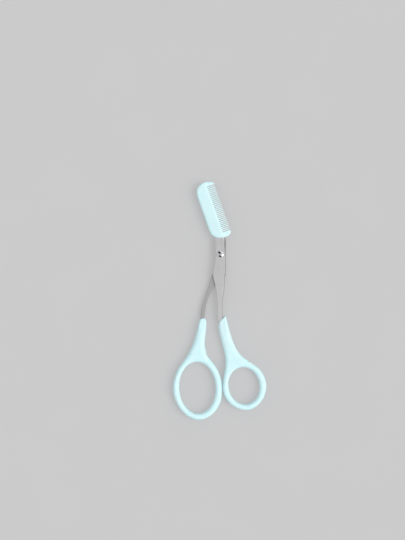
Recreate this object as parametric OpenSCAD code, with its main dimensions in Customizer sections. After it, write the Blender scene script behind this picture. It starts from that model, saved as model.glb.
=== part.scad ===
// Eyebrow scissors with a clip-on comb, lying closed.
// Millimetres. +Z is the thickness, +Y runs from the finger rings to the
// blade tips, +X is the thumb ring's side. Z = 0 is the table under the rings.

/* [Steel halves] */
// Thickness of each stamped steel half
steel_t = 1.4; // [1.2:0.1:1.5]
// Gap between the two mating faces
face_gap = 0.1; // [0.06:0.02:0.14]
// Lean of the blades to the left of the arms, in degrees
blade_lean = 19.5; // [17:0.5:22]
// Width of the ground bevel behind each cutting edge
bevel_w = 1.9; // [1.4:0.1:2.2]
// Flat left under the bevel at the cutting edge
edge_land = 0.2; // [0.1:0.05:0.3]
// Diameter of the locking hole in each tang
lock_hole_d = 1; // [0.8:0.1:1.1]

/* [Pivot screw] */
// Diameter of the domed head
head_d = 3.4; // [3:0.1:3.8]
// Height of the head's straight rim
head_rim_h = 0.4; // [0.3:0.05:0.45]
// Height of the dome above the rim
head_dome_h = 0.35; // [0.3:0.05:0.5]
// Diameter of the shank that both halves turn on
shank_d = 2; // [1.8:0.1:2.2]
// Radial running clearance of the shank in the front half
shank_clear = 0.05; // [0.03:0.01:0.08]
// Width of the screwdriver slot
slot_w = 0.6; // [0.5:0.05:0.7]
// Depth of the screwdriver slot
slot_depth = 0.4; // [0.3:0.05:0.5]
// Turn of the slot from the X axis, in degrees
slot_turn = 8; // [-90:1:90]
// How far the shank stands proud of the rear face
shank_proud = 0.15; // [0:0.05:0.3]

/* [Finger rings] */
// Thickness of the moulded grips
grip_t = 4.2; // [4:0.1:4.6]
// Width of the finger ring's opening
finger_hole_w = 19; // [18:0.1:19.2]
// Length of the finger ring's opening
finger_hole_l = 26.9; // [25.5:0.1:27]
// Width of the thumb ring's opening
thumb_hole_w = 16.2; // [15.4:0.1:16.3]
// Length of the thumb ring's opening
thumb_hole_l = 19.4; // [18.4:0.1:19.5]
// Edge rounding of the finger ring, measured inwards
finger_round = 1.35; // [1.1:0.05:1.4]
// Edge rounding of the thumb ring, measured inwards
thumb_round = 1.2; // [0.9:0.05:1.25]

/* [Comb] */
// Number of teeth
teeth = 26; // [20:1:26]
// Distance from tooth to tooth
tooth_pitch = 0.95; // [0.9:0.01:0.95]
// Width of a tooth at its root
tooth_root_w = 0.58; // [0.5:0.02:0.62]
// Width of a tooth at its tip
tooth_tip_w = 0.4; // [0.3:0.02:0.5]
// Thickness of the wall over the blade
comb_wall = 1.1; // [0.9:0.1:1.3]
// Clearance of the blade in the comb's channel, on each face
comb_clear = 0.05; // [0.03:0.01:0.1]

/* [Hidden] */

// Steel edges are smoothed into this many pieces between chosen points
steel_k = 4;
grip_k = 3;

// Height of the mating plane above the table
mate_z = grip_t / 2;
front_z0 = face_gap / 2;
rear_z0 = -face_gap / 2 - steel_t;

// Middle of the drawn outlines, which becomes the part's origin
middle = [0.6, 0];

// Pivot axis, and the bend where the blades lean away from the arms
pivot = [1, 24.3];
bend = [0.7, 31.7];

// Blade frame: x across the blades, y along them from the bend to the tips
edge_x = 2.47;
comb_x = -3.53;
root_x = 2.82;
tooth_end_x = 6.92;

// ---------------------------------------------------------------- curves

function cr(a, b, c, d, t) =
    0.5 * (2 * b + (c - a) * t + (2 * a - 5 * b + 4 * c - d) * t * t + (3 * b - a - 3 * c + d) * t * t * t);

// Smooth closed loop through the points p, k steps between neighbours
function loop_curve(p, k) = let (n = len(p))
    [for (i = [0:n - 1]) for (j = [0:k - 1])
        cr(p[(i + n - 1) % n], p[i], p[(i + 1) % n], p[(i + 2) % n], j / k)];

// Smooth open line through the points p
function open_curve(p, k) = let (n = len(p))
    concat([for (i = [0:n - 2]) for (j = [0:k - 1])
        cr(p[max(i - 1, 0)], p[i], p[i + 1], p[min(i + 2, n - 1)], j / k)], [p[n - 1]]);

// A point of the blade frame in the part's frame
function on_blade(p) = bend + [p[0] * cos(blade_lean) - p[1] * sin(blade_lean),
                               p[0] * sin(blade_lean) + p[1] * cos(blade_lean)];
function all_on_blade(ps) = [for (p = ps) on_blade(p)];

function smooth01(x) = let (t = max(0, min(1, x))) t * t * (3 - 2 * t);

// ---------------------------------------------------------------- steel outlines

// Front half, counter-clockwise from its tip: back edge, left side of the arm,
// tang, right side of the arm, cutting edge
front_back_edge = [[2.25, 28.2], [1.75, 27.5], [0.85, 25.9], [-0.4, 22.6], [-1.4, 18],
                   [-2, 12], [-2.3, 6], [-2.38, 1]];
front_left = [[-1.8, 29.4], [-1.8, 26], [-1.82, 22.5], [-2, 19.2], [-2.5, 16.6], [-3.05, 14.3]];
front_notch = [[-3.05, 14.3], [-2.4, 11], [-1.65, 8], [-1.25, 5.2], [-0.85, 2], [-0.73, -1.1],
               [-0.68, -4.2], [-0.6, -7.3], [-0.3, -9.4], [0.4, -11.2], [1.2, -13.6], [2.2, -17.2],
               [3.35, -21], [4.4, -24.2]];
front_tang_end = [[5, -24.9], [5.8, -24.4]];
front_right = [[5.85, -23.5], [5.1, -20.8], [4.1, -17.2], [3.25, -13.6], [2.6, -10.4],
               [2.15, -7.3], [2.1, -3.2], [2.32, 1], [2.78, 4.1], [3.15, 7.2], [3.36, 10.9],
               [3.42, 15], [3.33, 18.7], [3.28, 24.4], [3.2, 29]];
front_tip = [[2.47, 27.4], [2.43, 27.95]];

// Rear half, counter-clockwise from its tip: cutting edge, left side of the
// arm, tang, right side of the arm, shoulder, back edge
rear_edge = [[1.52, 27.7], [-0.88, 0.4]];
rear_left = [[-0.9, 29.6], [-1.35, 26], [-1.45, 22.5], [-1.65, 19.2], [-2.15, 16.6], [-2.9, 14.5],
             [-3.7, 12.4], [-4.35, 10.3], [-4.9, 8.3], [-5.45, 6.7], [-5.95, 5.2], [-6.45, 3.6],
             [-7.05, 1.9], [-7.6, 0.2], [-8.35, -2.2], [-8.9, -4.8], [-9.2, -7.4], [-9.3, -9.6],
             [-9.6, -13.4], [-10.25, -18], [-10.95, -22.6]];
rear_tang_end = [[-10.7, -23.6], [-9.9, -23.7]];
rear_right = [[-9.5, -22.8], [-8.6, -18], [-7.8, -13.4], [-7.3, -9.6], [-7, -7.4], [-6.7, -4.8],
              [-6.2, -2.1], [-5.6, 0], [-5.1, 1.6], [-4.5, 3.1], [-3.85, 4.5], [-3.2, 5.7],
              [-2.5, 6.8], [-1.7, 7.7], [-0.2, 8.6], [1.6, 9.8], [3, 11.3], [3.7, 12.7],
              [3.95, 14.4], [3.95, 18], [3.95, 24.4], [3.95, 30.4]];
rear_back_edge = [[3.07, -0.6], [3.05, 2], [2.95, 8], [2.82, 15], [2.68, 21], [2.55, 25.5],
                  [2.35, 27.6], [2, 28.2], [1.7, 28.1]];

front_outline = concat(
    all_on_blade(open_curve(front_back_edge, steel_k)),
    open_curve(front_left, steel_k),
    [for (i = [1:steel_k * (len(front_notch) - 1)]) open_curve(front_notch, steel_k)[i]],
    front_tang_end,
    open_curve(front_right, steel_k),
    all_on_blade([[2.47, 0.2]]),
    all_on_blade(front_tip));

rear_outline = concat(
    all_on_blade(rear_edge),
    open_curve(rear_left, steel_k),
    rear_tang_end,
    open_curve(rear_right, steel_k),
    all_on_blade(open_curve(rear_back_edge, steel_k)));

// Prism that runs along the blade frame's y axis from y0 to y1, with its
// section drawn in x and z
module along_blade(y0, y1, section) {
    translate([bend[0], bend[1], 0])
        rotate([0, 0, blade_lean])
            translate([0, y1, 0])
                rotate([90, 0, 0])
                    linear_extrude(height = y1 - y0)
                        polygon(section);
}

// ---------------------------------------------------------------- steel halves

module front_blade() {
    z_top = front_z0 + steel_t;
    z_land = front_z0 + edge_land;
    m = (z_top - z_land) / bevel_w;
    color([0.75, 0.75, 0.76])
    translate([-middle[0], -middle[1], mate_z])
    difference() {
        translate([0, 0, front_z0])
            linear_extrude(height = steel_t)
                polygon(front_outline);
        // ground bevel on the outer face, along the cutting edge
        along_blade(0.9, 40, [[edge_x + 1, z_land - m], [edge_x + 1, z_top + 1],
                              [edge_x - bevel_w - 1 / m, z_top + 1]]);
        // bore that turns on the screw's shank
        translate([pivot[0], pivot[1], front_z0 - 1])
            cylinder(d = shank_d + 2 * shank_clear, h = steel_t + 2, $fn = 64);
        // locking hole in the tang
        translate([3.22, -17.5, front_z0 - 1])
            cylinder(d = lock_hole_d, h = steel_t + 2, $fn = 32);
    }
}

module rear_blade() {
    z_bot = rear_z0;
    z_land = -face_gap / 2 - edge_land;
    m = (z_land - z_bot) / bevel_w;
    turn = atan2(rear_edge[0][0] - rear_edge[1][0], rear_edge[0][1] - rear_edge[1][1]);
    color([0.66, 0.66, 0.67])
    translate([-middle[0], -middle[1], mate_z])
    difference() {
        translate([0, 0, rear_z0])
            linear_extrude(height = steel_t)
                polygon(rear_outline);
        // ground bevel on the outer face, along the cutting edge
        translate([bend[0], bend[1], 0])
            rotate([0, 0, blade_lean])
                translate([rear_edge[1][0], rear_edge[1][1], 0])
                    rotate([0, 0, -turn])
                        translate([0, 40, 0])
                            rotate([90, 0, 0])
                                linear_extrude(height = 39.2)
                                    polygon([[-1, z_land + m], [-1, z_bot - 1],
                                             [bevel_w + 1 / m, z_bot - 1]]);
        // hole that grips the screw's shank
        translate([pivot[0], pivot[1], rear_z0 - 1])
            cylinder(d = shank_d, h = steel_t + 2, $fn = 64);
        // locking hole in the tang
        translate([-9.35, -17.5, rear_z0 - 1])
            cylinder(d = lock_hole_d, h = steel_t + 2, $fn = 32);
    }
}

// ---------------------------------------------------------------- pivot screw

module pivot_screw() {
    head_z = front_z0 + steel_t + 0.03;
    dome_r = (head_d * head_d / 4 + head_dome_h * head_dome_h) / (2 * head_dome_h);
    color([0.9, 0.9, 0.92])
    translate([pivot[0] - middle[0], pivot[1] - middle[1], mate_z])
    difference() {
        union() {
            // straight rim of the head
            translate([0, 0, head_z])
                cylinder(d = head_d, h = head_rim_h, $fn = 64);
            // dome
            intersection() {
                translate([0, 0, head_z + head_rim_h + head_dome_h - dome_r])
                    sphere(r = dome_r, $fn = 96);
                translate([0, 0, head_z + head_rim_h])
                    cylinder(d = head_d, h = head_dome_h + 1, $fn = 64);
            }
            // shank, through both halves
            translate([0, 0, rear_z0 - shank_proud])
                cylinder(d = shank_d, h = head_z - rear_z0 + shank_proud + 0.1, $fn = 64);
        }
        // screwdriver slot
        rotate([0, 0, slot_turn])
            translate([-head_d, -slot_w / 2, head_z + head_rim_h + head_dome_h - slot_depth])
                cube([2 * head_d, slot_w, slot_depth + 1]);
    }
}

// ---------------------------------------------------------------- moulded grips

// Outlines: right side of the neck upwards, tip, left side downwards, then the
// ring counter-clockwise back to the start
finger_right = [[-5.95, -28.2], [-6.65, -25.6], [-7.15, -22.9], [-7.05, -20.3], [-6.75, -17.7],
                [-6.45, -15.1], [-6.3, -12.6], [-6.3, -11.1], [-6.6, -9.8], [-7.25, -9.1]];
finger_tip = [-7.95, -8.85];
finger_left = [[-8.75, -9.05], [-9.55, -9.7], [-10.1, -11.1], [-10.5, -12.8], [-11.1, -15.2],
               [-11.75, -17.7], [-12.5, -20.3], [-13.45, -22.9], [-14.65, -25.5], [-16.1, -28.2]];
finger_ring = [[-17.9, -30.8], [-19.7, -33.3], [-21.3, -36], [-22.55, -39], [-23.35, -42],
               [-23.65, -45], [-23.45, -48.2], [-22.65, -51.3], [-21.35, -54.2], [-19.5, -56.9],
               [-17.2, -59.2], [-14.4, -60.95], [-11.3, -61.85], [-8.1, -61.65], [-5.2, -60.5],
               [-2.6, -58.5], [-0.6, -56], [0.75, -53.4], [1.55, -50.8], [1.88, -48], [1.9, -45],
               [1.6, -41.8], [0.75, -38.7], [-0.5, -35.9], [-2.1, -33.3], [-4.1, -30.8]];
finger_hole_c = [-10.95, -45.25];
finger_hole_tilt = 3;

thumb_right = [[15, -30.8], [11.7, -28.2], [9.75, -25.6], [8.35, -22.9], [7.3, -20.3],
               [6.4, -17.7], [5.65, -15.1], [5, -12.6], [4.5, -10.6], [4.15, -9.1], [3.85, -8.2]];
thumb_tip = [3.35, -7.95];
thumb_left = [[2.6, -8.45], [1.5, -9.5], [0.55, -10.7], [0.12, -12.1], [0.25, -15], [0.85, -17.7],
              [1.45, -20.3], [2.1, -22.9], [2.8, -25.6], [3.35, -28.2], [3.7, -30.8]];
thumb_ring = [[3.7, -33.6], [3.3, -36.6], [2.75, -39.6], [2.35, -42.6], [2.25, -45.2], [2.65, -48],
              [3.75, -50.6], [5.5, -52.95], [7.7, -54.8], [10.4, -56.15], [13.3, -56.85],
              [16.4, -56.65], [19.3, -55.25], [21.7, -53.1], [23.5, -50.4], [24.55, -47.4],
              [24.9, -44.2], [24.5, -41.2], [23.4, -38.4], [21.6, -35.7], [18.8, -33.3]];
thumb_hole_c = [13.3, -44.2];
thumb_hole_tilt = 10;

// Grip solid: an outline with an elliptic ring opening, edges rounded on both
// faces. Loops of points climb the outer wall and the opening's wall, and flat
// caps join them.
module grip(right, tip, left, ring, hole_c, hole_w, hole_l, tilt, round_r, tip_round) {
    q = loop_curve(concat(right, [tip], left, ring), grip_k);
    n = len(q);
    m = len(right) * grip_k;
    arc = 12;
    nh = arc + n - 2 * m;
    y_tip = tip[1];
    levels = 6;

    // rounding and half thickness grow from the neck's tip towards the ring
    function grow(y) = smooth01((y_tip - y) / 11);
    function rr(y) = tip_round + (round_r - tip_round) * grow(y);
    function hh(y) = grip_t / 2 * (0.9 + 0.1 * grow(y));
    function inward(p, i) = let (c = len(p), t = p[(i + 1) % c] - p[(i + c - 1) % c]) [-t[1], t[0]] / norm(t);
    function section(l) = let (a = -90 + 180 * l / levels) [1 - cos(a), sin(a)];

    // opening's point seen at angle a from its centre
    function hole_at(a) = let (d = [cos(a - tilt), sin(a - tilt)],
            s = 1 / norm([d[0] / (hole_w / 2), d[1] / (hole_l / 2)]))
        hole_c + s * [cos(a), sin(a)];
    function angle_of(p) = let (a = atan2(p[1] - hole_c[1], p[0] - hole_c[0])) a < 0 ? a + 360 : a;

    a0 = angle_of(q[0]);
    a1 = angle_of(q[2 * m]);
    hole = concat([for (j = [0:arc - 1]) hole_at(a0 + (a1 - a0) * j / arc)],
                  [for (j = [2 * m:n - 1]) hole_at(angle_of(q[j]))]);

    outer_pts = [for (l = [0:levels]) for (i = [0:n - 1]) let (s = section(l), y = q[i][1],
        p = q[i] + inward(q, i) * rr(y) * s[0]) [p[0], p[1], hh(y) * s[1]]];
    hole_pts = [for (l = [0:levels]) for (i = [0:nh - 1]) let (s = section(l), y = hole[i][1],
        p = hole[i] - inward(hole, i) * rr(y) * s[0]) [p[0], p[1], hh(y) * s[1]]];

    b = (levels + 1) * n;
    outer_faces = [for (l = [0:levels - 1]) for (i = [0:n - 1]) for (h = [0, 1])
        let (i0 = l * n + i, i1 = l * n + (i + 1) % n, j0 = i0 + n, j1 = i1 + n)
        h == 0 ? [i0, i1, j1] : [i0, j1, j0]];
    hole_faces = [for (l = [0:levels - 1]) for (i = [0:nh - 1]) for (h = [0, 1])
        let (i0 = b + l * nh + i, i1 = b + l * nh + (i + 1) % nh, j0 = i0 + nh, j1 = i1 + nh)
        h == 0 ? [i0, j1, i1] : [i0, j0, j1]];

    // flat cap at level l: rungs across the neck, a fan over the opening, a
    // strip round the ring
    function cap(l) = let (o = l * n, c = b + l * nh) concat(
        [for (j = [0:m - 2]) for (h = [0, 1])
            h == 0 ? [o + j, o + j + 1, o + 2 * m - j - 1] : [o + j, o + 2 * m - j - 1, o + 2 * m - j]],
        [[o + m - 1, o + m, o + m + 1]],
        [for (i = [0:arc / 2 - 1]) [o, c + i + 1, c + i]],
        [[o, o + 2 * m, c + arc / 2]],
        [for (i = [arc / 2:arc - 1]) [o + 2 * m, c + i + 1, c + i]],
        [for (j = [0:n - 2 * m - 1]) for (h = [0, 1])
            let (p0 = o + 2 * m + j, p1 = o + (2 * m + j + 1) % n, r0 = c + arc + j, r1 = c + (arc + j + 1) % nh)
            h == 0 ? [p0, p1, r1] : [p0, r1, r0]]);

    out = concat(outer_faces, hole_faces, cap(levels), [for (f = cap(0)) [f[0], f[2], f[1]]]);
    polyhedron(points = concat(outer_pts, hole_pts), faces = [for (f = out) [f[2], f[1], f[0]]], convexity = 8);
}

module thumb_handle() {
    color([0.72, 0.93, 0.94])
    translate([-middle[0], -middle[1], mate_z])
    difference() {
        grip(thumb_right, thumb_tip, thumb_left, thumb_ring, thumb_hole_c,
             thumb_hole_w, thumb_hole_l, thumb_hole_tilt, thumb_round, 0.45);
        // room of the tang, with the plastic left in its locking hole
        difference() {
            translate([0, 0, front_z0])
                linear_extrude(height = steel_t)
                    polygon(front_outline);
            translate([3.22, -17.5, front_z0 - 1])
                cylinder(d = lock_hole_d, h = steel_t + 2, $fn = 32);
        }
    }
}

module finger_handle() {
    color([0.74, 0.95, 0.96])
    translate([-middle[0], -middle[1], mate_z])
    difference() {
        grip(finger_right, finger_tip, finger_left, finger_ring, finger_hole_c,
             finger_hole_w, finger_hole_l, finger_hole_tilt, finger_round, 0.6);
        // room of the tang, with the plastic left in its locking hole
        difference() {
            translate([0, 0, rear_z0])
                linear_extrude(height = steel_t)
                    polygon(rear_outline);
            translate([-9.35, -17.5, rear_z0 - 1])
                cylinder(d = lock_hole_d, h = steel_t + 2, $fn = 32);
        }
    }
}

// ---------------------------------------------------------------- comb

// Plan of the comb in the blade frame: rounded ends, guards at both ends of
// the teeth
comb_foot = [[-3.53, 7], [-3.42, 5.3], [-2.98, 3.8], [-2, 2.45], [-0.6, 1.3], [1, 0.75], [2.8, 0.55],
             [4.5, 0.6], [5.8, 1], [6.6, 1.75], [6.85, 2.5], [6.6, 3.05], [6, 3.15]];
comb_head = [[6.6, 28.35], [7.15, 28.55], [6.9, 29], [5.6, 29.95], [3.8, 30.6], [1.8, 30.75], [0.3, 30.5],
             [-1, 29.9], [-2.2, 29], [-3.05, 27.6], [-3.44, 25.9], [-3.53, 24.2]];
first_tooth = 3.15 + 0.43 + 0.29;

function tooth(i) = let (c = first_tooth + i * tooth_pitch)
    [[root_x, c - tooth_root_w / 2], [tooth_end_x - 0.15, c - tooth_tip_w / 2],
     [tooth_end_x, c - tooth_tip_w / 5], [tooth_end_x, c + tooth_tip_w / 5],
     [tooth_end_x - 0.15, c + tooth_tip_w / 2], [root_x, c + tooth_root_w / 2]];

comb_plan = concat(
    open_curve(comb_foot, 4),
    [[root_x, 3.15]],
    [for (i = [0:teeth - 1]) each tooth(i)],
    [[root_x, 28.3]],
    open_curve(comb_head, 4));

module comb() {
    top = front_z0 + steel_t + comb_clear + comb_wall;
    low = -mate_z;
    color([0.78, 0.96, 0.97])
    translate([-middle[0], -middle[1], mate_z])
    difference() {
        intersection() {
            translate([bend[0], bend[1], low - 1])
                rotate([0, 0, blade_lean])
                    linear_extrude(height = top - low + 2)
                        polygon(comb_plan);
            // section across the comb: thick rounded spine, tapered teeth
            along_blade(-2, 33, [
                [comb_x, low + 0.6], [comb_x + 0.2, low + 0.2], [comb_x + 0.6, low],
                [root_x - 0.15, low], [root_x - 0.15, 0.85], [root_x, 0.8],
                [tooth_end_x + 0.3, 1.3], [tooth_end_x + 0.4, 1.5], [tooth_end_x + 0.3, 1.75],
                [root_x, top - 0.3], [root_x - 0.9, top], [comb_x + 1.2, top],
                [comb_x + 0.55, top - 0.15], [comb_x + 0.15, top - 0.55], [comb_x, top - 1.1]]);
        }
        // channel that takes the front blade
        translate([bend[0], bend[1], front_z0 - comb_clear])
            rotate([0, 0, blade_lean])
                linear_extrude(height = steel_t + 2 * comb_clear)
                    polygon(concat([[edge_x + 0.2, -2], [edge_x + 0.2, 28.5], [1.9, 28.5]],
                        open_curve([[1.45, 27.7], [0.65, 26.1], [-0.58, 22.8], [-1.56, 18.1], [-2.15, 12],
                                    [-2.45, 6], [-2.52, 0.9]], 4),
                        [[-2.52, -2]]));
        // open underside, clear of the rear blade
        translate([bend[0], bend[1], low - 1])
            rotate([0, 0, blade_lean])
                linear_extrude(height = 1 - low + front_z0 - comb_clear + 0.01)
                    polygon([[-1.35, -2], [edge_x + 2, -2], [edge_x + 2, 28.6], [1.3, 28.6], [1.1, 26.5]]);
    }
}

front_blade();
rear_blade();
pivot_screw();
thumb_handle();
finger_handle();
comb();
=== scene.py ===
# Looks of a pair of eyebrow scissors with a clip-on comb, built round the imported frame.
# All shapes are worked out in millimetres in the drawing's coordinates and written in metres.
import math

import bmesh
import bpy
import numpy as np
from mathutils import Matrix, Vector
from mathutils.geometry import delaunay_2d_cdt


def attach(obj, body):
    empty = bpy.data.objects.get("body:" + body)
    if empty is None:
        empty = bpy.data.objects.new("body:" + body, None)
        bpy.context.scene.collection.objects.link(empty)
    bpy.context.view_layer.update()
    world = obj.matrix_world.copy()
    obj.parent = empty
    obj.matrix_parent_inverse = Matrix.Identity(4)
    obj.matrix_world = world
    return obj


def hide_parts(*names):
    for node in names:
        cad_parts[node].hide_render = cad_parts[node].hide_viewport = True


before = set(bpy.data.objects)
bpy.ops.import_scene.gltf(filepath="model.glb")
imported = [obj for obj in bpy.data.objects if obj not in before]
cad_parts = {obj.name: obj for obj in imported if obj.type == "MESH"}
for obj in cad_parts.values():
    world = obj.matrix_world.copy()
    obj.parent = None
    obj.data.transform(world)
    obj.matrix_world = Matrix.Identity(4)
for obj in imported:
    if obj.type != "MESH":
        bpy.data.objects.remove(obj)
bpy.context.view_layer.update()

MM = 0.001
MIDDLE = np.array([0.6, 0.0])
GRIP_T = 4.2
MATE_Z = GRIP_T / 2
STEEL_T = 1.4
FRONT_Z0, FRONT_Z1 = 0.05, 0.05 + STEEL_T
REAR_Z0, REAR_Z1 = -0.05 - STEEL_T, -0.05
PIVOT = np.array([1.0, 24.3])
BEND = np.array([0.7, 31.7])
LEAN = math.radians(19.5)
EDGE_X, COMB_X, ROOT_X, TOOTH_END_X = 2.47, -3.53, 2.82, 6.92
PERIOD = 0.95


# ------------------------------------------------------------------ curves

def catmull(a, b, c, d, t):
    return 0.5 * (2 * b + (c - a) * t + (2 * a - 5 * b + 4 * c - d) * t * t + (3 * b - a - 3 * c + d) * t ** 3)


def loop_curve(points, k):
    p = np.array(points, float)
    n = len(p)
    return np.array([catmull(p[i - 1], p[i], p[(i + 1) % n], p[(i + 2) % n], j / k)
                     for i in range(n) for j in range(k)])


def open_curve(points, k):
    p = np.array(points, float)
    n = len(p)
    out = [catmull(p[max(i - 1, 0)], p[i], p[i + 1], p[min(i + 2, n - 1)], j / k)
           for i in range(n - 1) for j in range(k)]
    return np.array(out + [p[-1]])


def on_blade(points):
    p = np.atleast_2d(np.array(points, float))
    c, s = math.cos(LEAN), math.sin(LEAN)
    return np.stack([BEND[0] + p[:, 0] * c - p[:, 1] * s, BEND[1] + p[:, 0] * s + p[:, 1] * c], 1)


def to_blade(p):
    q = p - BEND
    c, s = math.cos(LEAN), math.sin(LEAN)
    return q[:, 0] * c + q[:, 1] * s, -q[:, 0] * s + q[:, 1] * c


def tidy(loop, least=0.02):
    """Drops points that repeat their neighbour."""
    keep = [loop[0]]
    for p in loop[1:]:
        if np.hypot(*(p - keep[-1])) > least:
            keep.append(p)
    while np.hypot(*(keep[0] - keep[-1])) <= least:
        keep.pop()
    return np.array(keep)


def refine(loop, step):
    """Splits the sides of a closed loop that are longer than step, and keeps its corners."""
    out = []
    for i in range(len(loop)):
        a, b = loop[i], loop[(i + 1) % len(loop)]
        n = max(1, int(math.ceil(np.hypot(*(b - a)) / step)))
        out += [a + (b - a) * j / n for j in range(n)]
    return np.array(out)


def even(loop, step):
    """Walks a smooth closed loop in even steps."""
    closed = np.vstack([loop, loop[:1]])
    run = np.concatenate([[0], np.cumsum(np.hypot(*np.diff(closed, axis=0).T))])
    n = int(round(run[-1] / step))
    at = np.linspace(0, run[-1], n, endpoint=False)
    return np.stack([np.interp(at, run, closed[:, 0]), np.interp(at, run, closed[:, 1])], 1)


def area(loop):
    x, y = loop.T
    return 0.5 * np.sum(x * np.roll(y, -1) - y * np.roll(x, -1))


def circle(c, r, n):
    a = np.arange(n) * 2 * math.pi / n
    return np.stack([c[0] + r * np.cos(a), c[1] + r * np.sin(a)], 1)


def inward(loop, offset):
    """Moves each point of a loop into the solid, which is on the loop's left. offset is one number or one a point."""
    e = np.roll(loop, -1, 0) - loop
    e /= np.hypot(*e.T)[:, None]
    n = np.stack([-e[:, 1], e[:, 0]], 1)
    m = n + np.roll(n, 1, 0)
    m /= np.maximum((m * n).sum(1), 0.35)[:, None]
    return loop + m * np.reshape(offset, (-1, 1))


def room(loop, loops, d):
    """Share of the distance d that each point of a loop can move in before it meets another side."""
    s = np.ones(len(loop))
    for _ in range(8):
        g = gap(inward(loop, d * s), loops)
        s = np.where(g < 0.88 * d * s, s * 0.8, s)
    for _ in range(6):
        s = np.minimum(s, np.minimum(np.roll(s, 1), np.roll(s, -1)) + 0.12)
    return s


def gap(points, loops, to_right=False, chunk=1500):
    """Distance from each point to the nearest side of the loops, or to the nearest one facing +X."""
    a = np.concatenate(loops)
    ab = np.concatenate([np.roll(l, -1, 0) for l in loops]) - a
    if to_right:
        keep = ab[:, 1] > 0.6 * np.hypot(*ab.T)
        a, ab = a[keep], ab[keep]
    l2 = np.maximum((ab ** 2).sum(1), 1e-12)
    out = np.empty(len(points))
    for s in range(0, len(points), chunk):
        ap = points[s:s + chunk, None] - a[None]
        t = np.clip((ap * ab).sum(2) / l2, 0, 1)
        d = ap - t[..., None] * ab
        out[s:s + chunk] = np.sqrt((d ** 2).sum(2).min(1))
    return out


def within(points, loops, chunk=3000):
    """True for the points inside an odd number of the loops."""
    a = np.concatenate(loops)
    b = np.concatenate([np.roll(l, -1, 0) for l in loops])
    out = np.empty(len(points), bool)
    dy = np.where(np.abs(b[:, 1] - a[:, 1]) < 1e-12, 1e-12, b[:, 1] - a[:, 1])
    for s in range(0, len(points), chunk):
        x, y = points[s:s + chunk, 0:1], points[s:s + chunk, 1:2]
        cross = (a[:, 1] > y) != (b[:, 1] > y)
        hit = cross & (x < a[:, 0] + (y - a[:, 1]) / dy * (b[:, 0] - a[:, 0]))
        out[s:s + chunk] = hit.sum(1) % 2 == 1
    return out


def smooth01(x):
    t = np.clip(x, 0, 1)
    return t * t * (3 - 2 * t)


def quarter(t):
    """Height of a quarter round at t of its way in, from 0 to 1."""
    t = np.clip(t, 0, 1)
    return np.sqrt(np.maximum(0, 1 - (1 - t) ** 2))


# ------------------------------------------------------------------ solids from plans

def enclosed(tri, bars):
    """True for the triangles inside the outline; stepping over one of its sides leads in or out."""
    sides = {}
    for i, f in enumerate(tri):
        for a, b in ((f[0], f[1]), (f[1], f[2]), (f[2], f[0])):
            sides.setdefault((min(a, b), max(a, b)), []).append(i)
    inside = np.full(len(tri), -1)
    todo = []
    for side, users in sides.items():
        if len(users) == 1 and inside[users[0]] < 0:
            inside[users[0]] = side in bars
            todo.append(users[0])
    while todo:
        i = todo.pop()
        f = tri[i]
        for a, b in ((f[0], f[1]), (f[1], f[2]), (f[2], f[0])):
            side = (min(a, b), max(a, b))
            for k in sides[side]:
                if inside[k] < 0:
                    inside[k] = inside[i] ^ (side in bars)
                    todo.append(k)
    return inside == 1


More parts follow.
